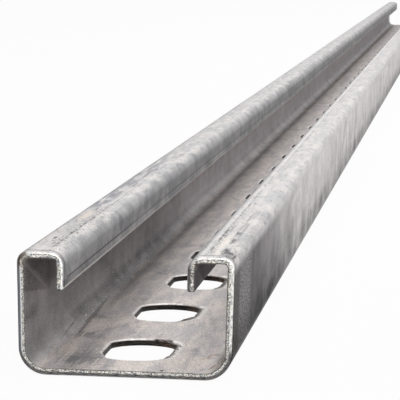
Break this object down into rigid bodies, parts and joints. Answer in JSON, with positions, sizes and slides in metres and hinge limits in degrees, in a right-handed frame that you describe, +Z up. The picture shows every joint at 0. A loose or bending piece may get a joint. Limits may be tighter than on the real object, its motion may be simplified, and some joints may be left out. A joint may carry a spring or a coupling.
{
  "type": "slotted strut channel",
  "caption": "Roll-formed steel C channel with inturned lips and a row of long slots punched through its base.",
  "frame": {"origin": "centre of the base's underside, half way along the length", "axes": "+Y along the length, +Z up through the open side between the lips, +X across"},
  "size_m": [0.0412, 2, 0.0235],
  "materials": {
    "steel_strip": "pre-galvanised strip, dulled and scuffed, with bare sheared edges"
  },
  "bodies": {
    "root": {"channel": "steel_strip"}
  },
  "joints": []
}
